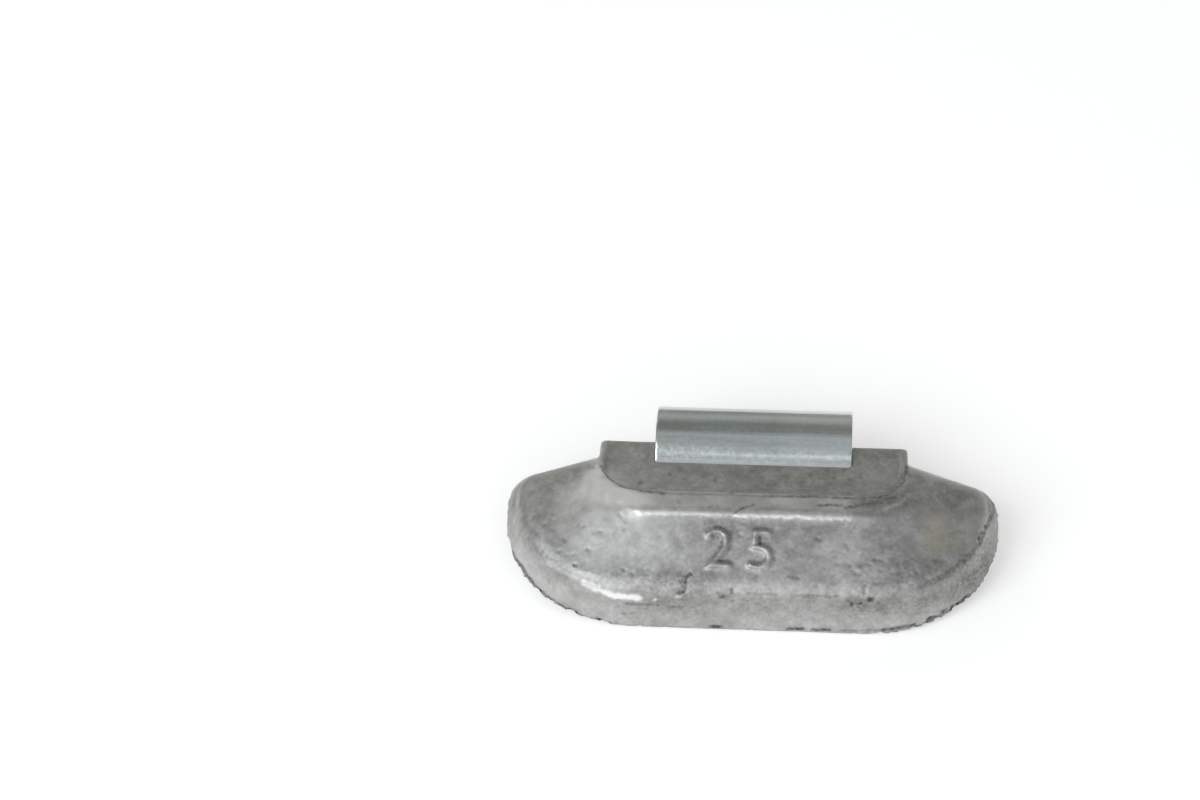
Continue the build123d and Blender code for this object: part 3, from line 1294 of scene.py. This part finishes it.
@dataclass(frozen=True)
class BackMarks:
    """Short pits of the mould and the cold seam on the flat back, with a painted highlight along the seam.

    Attributes:
        pits: How many pits there are.
        along: Range of their places along the weight.
        up: Range of their places up the back.
        length: Range of their lengths.
        turn: How far they turn from the weight's length: the spread, in radians.
        width: Range of half their widths.
        depth: Their depth as a share of half their width.
        strength: Range of their darkness, from 0 to 1.
        seam: Path of the cold seam on the back.
        seam_width: Half of its width.
        seam_height: How far it stands out.
        seam_rub_and_highlight: How bright the worn brightening and painted highlight along it are, from 0 to
            1.
        seed: Seed of the random draws.
    """

    pits: int = 60
    along: Span = (-21.0, 21.0)
    up: Span = (1.0, 14.0)
    length: Span = (0.1, 1.2)
    turn: float = 0.35
    width: Span = (0.10, 0.20)
    depth: float = 0.5
    strength: Span = (0.4, 0.8)
    seam: tuple[Place, ...] = (
        (0.3, 14.5),
        (0.2, 10.0),
        (-0.5, 7.0),
        (-1.3, 5.6),
        (-1.5, 3.2),
        (-2.0, 1.4),
        (-2.0, 0.2),
    )
    seam_width: float = 0.16
    seam_height: float = 0.05
    seam_rub_and_highlight: float = 0.8
    seed: int = 26

    def press(self, surface: Surface, back: BackFrame) -> None:
        """Presses the marks into the back.

        Args:
            surface: The body.
            back: Frame of its back.
        """
        draw = random.Random(self.seed)
        for _ in range(self.pits):
            x = draw.uniform(*self.along)
            y = draw.uniform(*self.up)
            run = draw.uniform(*self.length)
            turn = draw.gauss(0.0, self.turn)
            path = back.path(((x, y), (x + run * math.cos(turn), y + run * math.sin(turn))))
            width = draw.uniform(*self.width)
            strength = draw.uniform(*self.strength)
            surface.press(MarkKind.PIT, path, width, self.depth * width, strength)
        seam = back.path(self.seam)
        # The seam stands out and carries a painted highlight.
        surface.press(MarkKind.SEAM, seam, self.seam_width, self.seam_height, self.seam_rub_and_highlight)


@dataclass
class CastBody:
    """The cast zinc body: the CAD form with raised figures, a cast skin, its worn places and dirt, and
    painted light and shade.

    Attributes:
        back: Frame of its flat back.
        shot: View that its marks are read from.
        finish: Its finish.
        figures: The raised number on its crown.
        rounding: Its rounded edges.
        wear_and_painted_light: Its worn and dirty places, with painted highlights and painted shade.
        skin: Its uneven skin.
        back_marks: The marks on its back.
        voxel: Size of its faces.
        smoothing: Passes that soften its edges.
        patch_noise: Noise that breaks up the soft patches.
        seed: Seed of the scattered pits.
    """

    back: BackFrame
    shot: Shot
    finish: CastZincFinish = CastZincFinish()
    figures: Figures = Figures()
    rounding: Rounding = Rounding()
    wear_and_painted_light: WearAndPaintedLight = WearAndPaintedLight()
    skin: CastSkin = CastSkin()
    back_marks: BackMarks = BackMarks()
    voxel: float = 0.17
    smoothing: int = 2
    patch_noise: NoiseField = NoiseField(1.3, 5.0, 1.0, 0.5)
    seed: int = 25

    def build(self) -> bpy.types.Object:
        """Makes the body.

        Returns:
            The object that stands for the CAD casting.
        """
        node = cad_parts["cast_weight"]
        work = merged_copy(node)
        self.figures.add_to(work, search_tree(node.data), self.shot)
        mesh = voxel_skin(work, "zinc_body", self.voxel, self.smoothing)
        surface = Surface(mesh)
        self.rounding.apply(surface, self.back)
        self.wear_and_painted_light.apply(surface, self.back)
        self.skin.apply(surface, self.back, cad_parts["rim_clip"].data)
        tree = search_tree(mesh)
        self._lay_patches(surface, tree)
        self._press_marks(surface, tree)
        self.back_marks.press(surface, self.back)
        surface.write()
        return finished_piece(mesh, "cast_weight", self.finish.material())

    def _lay_patches(self, surface: Surface, tree: BVHTree) -> None:
        """Lays the soft patches of painted light, painted shade and tarnish over the body, broken up by a
        noise.

        Args:
            surface: The body.
            tree: Search tree over the body.
        """
        broken = surface.noise(self.patch_noise)
        for patch in PATCHES:
            gap = surface.distance(self._seen(patch.pixels, tree)) / patch.reach
            surface.layers[patch.kind.value] += patch.strength * np.exp(-(gap**2)) * broken

    def _press_marks(self, surface: Surface, tree: BVHTree) -> None:
        """Presses in the marks that the photograph shows.

        Args:
            surface: The body.
            tree: Search tree over the body.
        """
        # Glints paint highlights; dark lines along edges and creases, and nicks, paint shade; pits and
        # scratches are the casting's own.
        marks = [*FACE_MARKS, *LIP_MARKS, *WALL_MARKS, *EDGE_MARKS]
        draw = random.Random(self.seed)
        for field in PIT_FIELDS:
            marks += field.marks(draw)
        for mark in marks:
            path = self._seen(mark.pixels, tree)
            surface.press(mark.kind, path, mark.width, mark.depth, mark.strength)

    def _seen(self, pixels: tuple[Pixel, ...], tree: BVHTree) -> np.ndarray:
        """World points of the body under pixels of the photograph, or on its edge beside them.

        Args:
            pixels: The pixels.
            tree: Search tree over the body.

        Returns:
            One point a pixel.
        """
        points = []
        for pixel in pixels:
            start, direction = self.shot.ray(pixel)
            hit = tree.ray_cast(start, direction)[0]
            if hit is None:
                hit = tree.find_nearest(self.back.met_by(start, direction))[0]
            points.append(hit)
        return np.array(points)


@dataclass
class RimClip:
    """The bent spring-steel strip, with softened edges.

    Attributes:
        finish: Its finish.
        voxel: Size of its faces.
        smoothing: Passes that soften its edges.
        bend_passes: Times that the bend of the surface is spread to the neighbours.
        edge_rub_and_highlight: Painted highlight and worn brightening that grow with the bend of an edge.
        patches: Noise that breaks up the shine.
        foot: Distance from the casting at which the painted highlight along the foot counts.
        foot_highlight: How bright the painted highlight along the foot is.
        pale_end: Zone of the paler right part, along the weight.
        pale_rub: How much paler it is.
    """

    finish: PlatedSteelFinish = PlatedSteelFinish()
    voxel: float = 0.12
    smoothing: int = 2
    bend_passes: int = 2
    edge_rub_and_highlight: Ramp = Ramp(0.08, 6.0, 0.8)
    patches: NoiseField = NoiseField(1.0, 3.0, 0.75, 0.35)
    foot: Span = (0.20, 0.0)
    foot_highlight: float = 0.60
    pale_end: Span = (2.0, 4.0)
    pale_rub: float = 0.15

    def build(self) -> bpy.types.Object:
        """Makes the clip.

        Returns:
            The object that stands for the CAD clip.
        """
        work = merged_copy(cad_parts["rim_clip"])
        mesh = voxel_skin(work, "spring_clip", self.voxel, self.smoothing)
        surface = Surface(mesh)
        self._shine(surface)
        surface.write()
        return finished_piece(mesh, "rim_clip", self.finish.material())

    def _shine(self, surface: Surface) -> None:
        """Paints highlights on the edges and along the foot, and makes the right part paler.

        Args:
            surface: The clip.
        """
        patchy = surface.noise(self.patches)
        edges = self.edge_rub_and_highlight.of(surface.convexity(self.bend_passes)) * patchy
        gaps = gaps_to(surface.points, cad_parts["cast_weight"].data)
        # A painted highlight along the foot, where the clip leaves the casting.
        foot = self.foot_highlight * rise(gaps, self.foot) * patchy
        pale = self.pale_rub * rise(surface.points[:, 0] / MM, self.pale_end)
        surface.layers["rub"] = np.maximum.reduce([edges, foot, pale])


@dataclass(frozen=True)
class Lamp:
    """One soft lamp.

    Attributes:
        name: Its name.
        place: Its place, in metres.
        size: Its width, in metres.
        power: Its power, in watts.
        colour: Its colour.
    """

    name: str
    place: tuple[float, float, float]
    size: float
    power: float
    colour: Tint

    def build(self) -> None:
        """Adds the lamp, aimed at the weight."""
        data = bpy.data.lights.new(self.name, "AREA")
        data.size = self.size
        data.energy = self.power
        data.color = self.colour
        lamp = bpy.data.objects.new(self.name, data)
        lamp.location = self.place
        lamp.rotation_euler = (-Vector(self.place)).to_track_quat("-Z", "Y").to_euler()
        bpy.context.scene.collection.objects.link(lamp)


@dataclass
class Studio:
    """White table in a room that is bright in front, with a window on the left.

    Attributes:
        floor_half: Half of the table's width, in metres.
        floor_colour: Colour of the table.
        floor_roughness: How matt it is.
        floor_light: Colour of the light that the table adds to its own.
        floor_lift: Strength of that light, for the camera and for reflections.
        sky: Light of the room as (angle, level). The angle runs in degrees from the horizon in front,
            0, over the zenith, 90, to the horizon behind, 180.
        sky_fall: Share of the sky's light that is lost from the middle to the right.
        tint_turn: Angle at which the light's colour changes.
        front_tint: Its colour in front of that angle.
        back_tint: Its colour behind it.
        lamps: The soft lamps.
    """

    floor_half: float = 4.0
    floor_colour: Colour = (0.95, 0.95, 0.95, 1.0)
    floor_roughness: float = 0.9
    floor_light: Colour = (1.0, 1.0, 1.0, 1.0)
    floor_lift: float = 0.30
    sky: tuple[tuple[float, float], ...] = (
        (0, 0.60),
        (40, 0.58),
        (60, 0.54),
        (94, 0.54),
        (103, 0.30),
        (126, 0.28),
        (137, 0.43),
        (152, 0.55),
        (168, 0.39),
        (180, 0.40),
    )
    sky_fall: float = 0.06
    tint_turn: float = 100.0
    front_tint: Tint = (0.985, 1.0, 1.015)
    back_tint: Tint = (1.015, 1.0, 0.950)
    lamps: tuple[Lamp, ...] = (
        Lamp("window_left", (-0.48, -0.58, 0.62), 0.60, 4.0, (0.95, 0.98, 1.0)),
        Lamp("front_fill", (0.15, -0.95, 0.45), 0.70, 1.4, (1.0, 1.0, 0.98)),
        Lamp("back_left", (-0.50, 0.62, 0.60), 0.30, 0.35, (1.0, 1.0, 1.0)),
    )

    def build(self) -> None:
        """Adds the floor, the sky and the lamps."""
        self._floor()
        self._sky()
        for lamp in self.lamps:
            lamp.build()
        bpy.context.scene.view_settings.view_transform = "Standard"

    def _floor(self) -> None:
        """Adds the white table top."""
        work = bmesh.new()
        bmesh.ops.create_grid(work, x_segments=1, y_segments=1, size=self.floor_half)
        mesh = bpy.data.meshes.new("table_top")
        work.to_mesh(mesh)
        work.free()
        shader = Shader("white_table")
        shader.put("Base Color", self.floor_colour)
        shader.put("Roughness", self.floor_roughness)
        shader.put("Specular IOR Level", 0.0)
        shader.put("Emission Color", self.floor_light)
        path = shader.tree.nodes.new("ShaderNodeLightPath")
        seen = shader.math("MAXIMUM", path.outputs["Is Camera Ray"], path.outputs["Is Glossy Ray"])
        seen = shader.math("MAXIMUM", seen, path.outputs["Is Transmission Ray"])
        shader.put("Emission Strength", shader.math("MULTIPLY", seen, self.floor_lift))
        mesh.materials.append(shader.material)
        floor = bpy.data.objects.new("table_top", mesh)
        bpy.context.scene.collection.objects.link(floor)

    def _sky(self) -> None:
        """Makes the room's light."""
        world = bpy.data.worlds.new("soft_room")
        bpy.context.scene.world = world
        world.use_nodes = True
        tree = world.node_tree
        coords = tree.nodes.new("ShaderNodeTexCoord")
        split = tree.nodes.new("ShaderNodeSeparateXYZ")
        tree.links.new(coords.outputs["Generated"], split.inputs["Vector"])
        front = math_node(tree, "MULTIPLY", split.outputs["Y"], -1.0)
        angle = math_node(tree, "ARCTAN2", split.outputs["Z"], front)
        ramp = tree.nodes.new("ShaderNodeValToRGB")
        tree.links.new(math_node(tree, "DIVIDE", angle, math.pi), ramp.inputs["Fac"])
        self._fill(ramp.color_ramp.elements)
        fall = math_node(tree, "MULTIPLY", split.outputs["X"], -self.sky_fall)
        background = tree.nodes["Background"]
        tree.links.new(ramp.outputs["Color"], background.inputs["Color"])
        tree.links.new(math_node(tree, "ADD", fall, 1.0), background.inputs["Strength"])

    def _fill(self, stops: bpy.types.ColorRampElements) -> None:
        """Sets the stops of the sky's ramp.

        Args:
            stops: The ramp's stops, at first one at each of its ends.
        """
        for degrees, _ in self.sky[1:-1]:
            stops.new(degrees / HALF_TURN)
        for stop, (degrees, level) in zip(stops, self.sky):
            tint = self.front_tint if degrees < self.tint_turn else self.back_tint
            stop.color = (*(level * share for share in tint), 1.0)


def main() -> None:
    """Builds the pieces, the studio and the camera."""
    logging.basicConfig(level=logging.INFO, format="%(name)s: %(message)s")
    back = BackFrame.of_casting(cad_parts["cast_weight"])
    log.info("back leans at %.2f degrees", math.degrees(back.tilt))
    shot = Shot()
    pieces = (
        CastBody(back, shot).build(),
        RimClip().build(),
    )
    for piece in pieces:
        log.info("%s: %d faces", piece.name, len(piece.data.polygons))
    Studio().build()
    shot.build()


if __name__ == "__main__":
    main()
